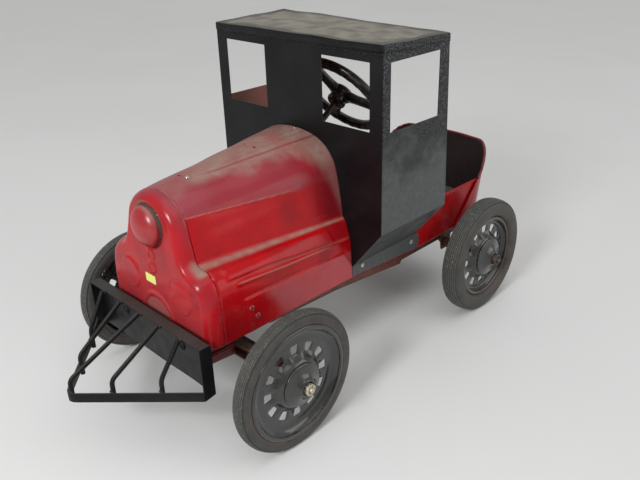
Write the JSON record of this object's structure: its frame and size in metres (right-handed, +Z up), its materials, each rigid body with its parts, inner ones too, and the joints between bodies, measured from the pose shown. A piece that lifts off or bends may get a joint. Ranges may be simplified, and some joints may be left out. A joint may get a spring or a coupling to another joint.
{
  "type": "pedal car",
  "caption": "Child's pedal car with a domed hood, an open box cab, a locomotive-style pilot, rubber-tyred disc wheels, steering and a pedal crank drive.",
  "frame": {"origin": "on the floor, at the middle of the car's length and width", "axes": "+X to the car's left, +Y rearward along its length, +Z up"},
  "size_m": [0.55, 1.024, 0.631],
  "materials": {
    "red_body": "gloss",
    "cab_black": "satin",
    "bumper_black": "satin",
    "seat_brown": "worn matt",
    "chassis_red_brown": "worn satin",
    "wheel_black": "gloss enamel",
    "tyre_rubber": "worn matt",
    "bright_screw": "zinc plated",
    "worn_brass": "weathered",
    "dark_steel": "oiled",
    "pedal_rubber": "matt",
    "steering_black": "semi-gloss"
  },
  "bodies": {
    "body": {"nose_shell": "red_body", "hood_shell": "red_body", "headlight_dome": "red_body", "back_panel": "red_body", "seat_pan": "seat_brown", "cab_front_panel": "cab_black", "cab_roof": "cab_black", "cab_screws": "bright_screw", "bumper_plate": "bumper_black", "bumper_bolts": "bumper_black", "pilot_bar": "bumper_black", "pilot_rods": "bumper_black", "body_bolts": "bright_screw", "front_axle_beam": "chassis_red_brown", "kingpins": "dark_steel", "hanger_posts": "chassis_red_brown", "pedal_pivot_rod": "chassis_red_brown", "steering_cross_member": "chassis_red_brown", "dash_strap": "chassis_red_brown", "tub_side_left": "red_body", "tub_side_right": "red_body", "cab_side_left": "cab_black", "cab_side_right": "cab_black", "front_rail_left": "chassis_red_brown", "front_rail_right": "chassis_red_brown", "chassis_rail_left": "chassis_red_brown", "chassis_rail_right": "chassis_red_brown", "axle_bracket_left": "chassis_red_brown", "axle_bracket_right": "chassis_red_brown", "axle_hanger_left": "chassis_red_brown", "axle_hanger_right": "chassis_red_brown"},
    "steering": {"steering_column": "dark_steel", "steering_wheel": "steering_black", "steering_nut": "bright_screw"},
    "tie_rod": {"tie_rod": "dark_steel"},
    "rear_axle": {"crank_axle": "dark_steel", "axle_collars": "dark_steel", "axle_ends_rear": "dark_steel", "tyre_rear_left": "tyre_rubber", "wheel_disc_rear_left": "wheel_black", "hub_cap_rear_left": "wheel_black"},
    "rear_wheel_right": {"tyre_rear_right": "tyre_rubber", "wheel_disc_rear_right": "wheel_black", "hub_cap_rear_right": "wheel_black"},
    "knuckle_left": {"knuckle_left": "dark_steel", "axle_end_front_left": "worn_brass"},
    "front_wheel_left": {"tyre_front_left": "tyre_rubber", "wheel_disc_front_left": "wheel_black", "hub_cap_front_left": "wheel_black"},
    "drive_rod_left": {"drive_rod_left": "dark_steel"},
    "pedal_left": {"pedal_lever_left": "dark_steel", "pedal_pad_left": "pedal_rubber"},
    "knuckle_right": {"knuckle_right": "dark_steel", "axle_end_front_right": "worn_brass"},
    "front_wheel_right": {"tyre_front_right": "tyre_rubber", "wheel_disc_front_right": "wheel_black", "hub_cap_front_right": "wheel_black"},
    "drive_rod_right": {"drive_rod_right": "dark_steel"},
    "pedal_right": {"pedal_lever_right": "dark_steel", "pedal_pad_right": "pedal_rubber"}
  },
  "joints": [
    {"name": "steering_turn", "type": "hinge", "parent": "body", "child": "steering", "pos_m": [0, 0.147, 0.494], "axis": [0, 0.809, 0.5878], "range_deg": [-18, 18]},
    {"name": "knuckle_left_turn", "type": "hinge", "parent": "body", "child": "knuckle_left", "pos_m": [0.2, -0.227, 0.127], "axis": [0, 0, 1], "range_deg": [-22, 22]},
    {"name": "knuckle_right_turn", "type": "hinge", "parent": "body", "child": "knuckle_right", "pos_m": [-0.2, -0.227, 0.127], "axis": [0, 0, 1], "range_deg": [-22, 22]},
    {"name": "tie_rod_pivot", "type": "hinge", "parent": "knuckle_left", "child": "tie_rod", "pos_m": [0.2, -0.177, 0.1], "axis": [0, 0, 1], "range_deg": [-22, 22]},
    {"name": "front_left_spin", "type": "hinge", "parent": "knuckle_left", "child": "front_wheel_left", "pos_m": [0.235, -0.227, 0.127], "axis": [1, 0, 0], "continuous": true},
    {"name": "front_right_spin", "type": "hinge", "parent": "knuckle_right", "child": "front_wheel_right", "pos_m": [-0.235, -0.227, 0.127], "axis": [1, 0, 0], "continuous": true},
    {"name": "crank_spin", "type": "hinge", "parent": "body", "child": "rear_axle", "pos_m": [0, 0.367, 0.127], "axis": [1, 0, 0], "continuous": true},
    {"name": "rear_right_spin", "type": "hinge", "parent": "rear_axle", "child": "rear_wheel_right", "pos_m": [-0.2115, 0.367, 0.127], "axis": [1, 0, 0], "continuous": true},
    {"name": "drive_rod_left_pivot", "type": "hinge", "parent": "rear_axle", "child": "drive_rod_left", "pos_m": [0.086, 0.36953, 0.17694], "axis": [1, 0, 0], "continuous": true},
    {"name": "drive_rod_right_pivot", "type": "hinge", "parent": "rear_axle", "child": "drive_rod_right", "pos_m": [-0.086, 0.36447, 0.07706], "axis": [1, 0, 0], "continuous": true},
    {"name": "pedal_left_swing", "type": "hinge", "parent": "body", "child": "pedal_left", "pos_m": [0.078, -0.047, 0.285], "axis": [1, 0, 0], "range_deg": [-21, 21]},
    {"name": "pedal_right_swing", "type": "hinge", "parent": "body", "child": "pedal_right", "pos_m": [-0.078, -0.047, 0.285], "axis": [1, 0, 0], "range_deg": [-21, 21]}
  ],
  "couplings": [
    {"joint": "knuckle_left_turn", "follows": "steering_turn", "ratio": 1.2},
    {"joint": "knuckle_right_turn", "follows": "steering_turn", "ratio": 1.2},
    {"joint": "tie_rod_pivot", "follows": "steering_turn", "ratio": -1.2},
    {"joint": "drive_rod_left_pivot", "follows": "crank_spin", "ratio": -1},
    {"joint": "drive_rod_right_pivot", "follows": "crank_spin", "ratio": -1},
    {"joint": "pedal_right_swing", "follows": "pedal_left_swing", "ratio": -1}
  ]
}
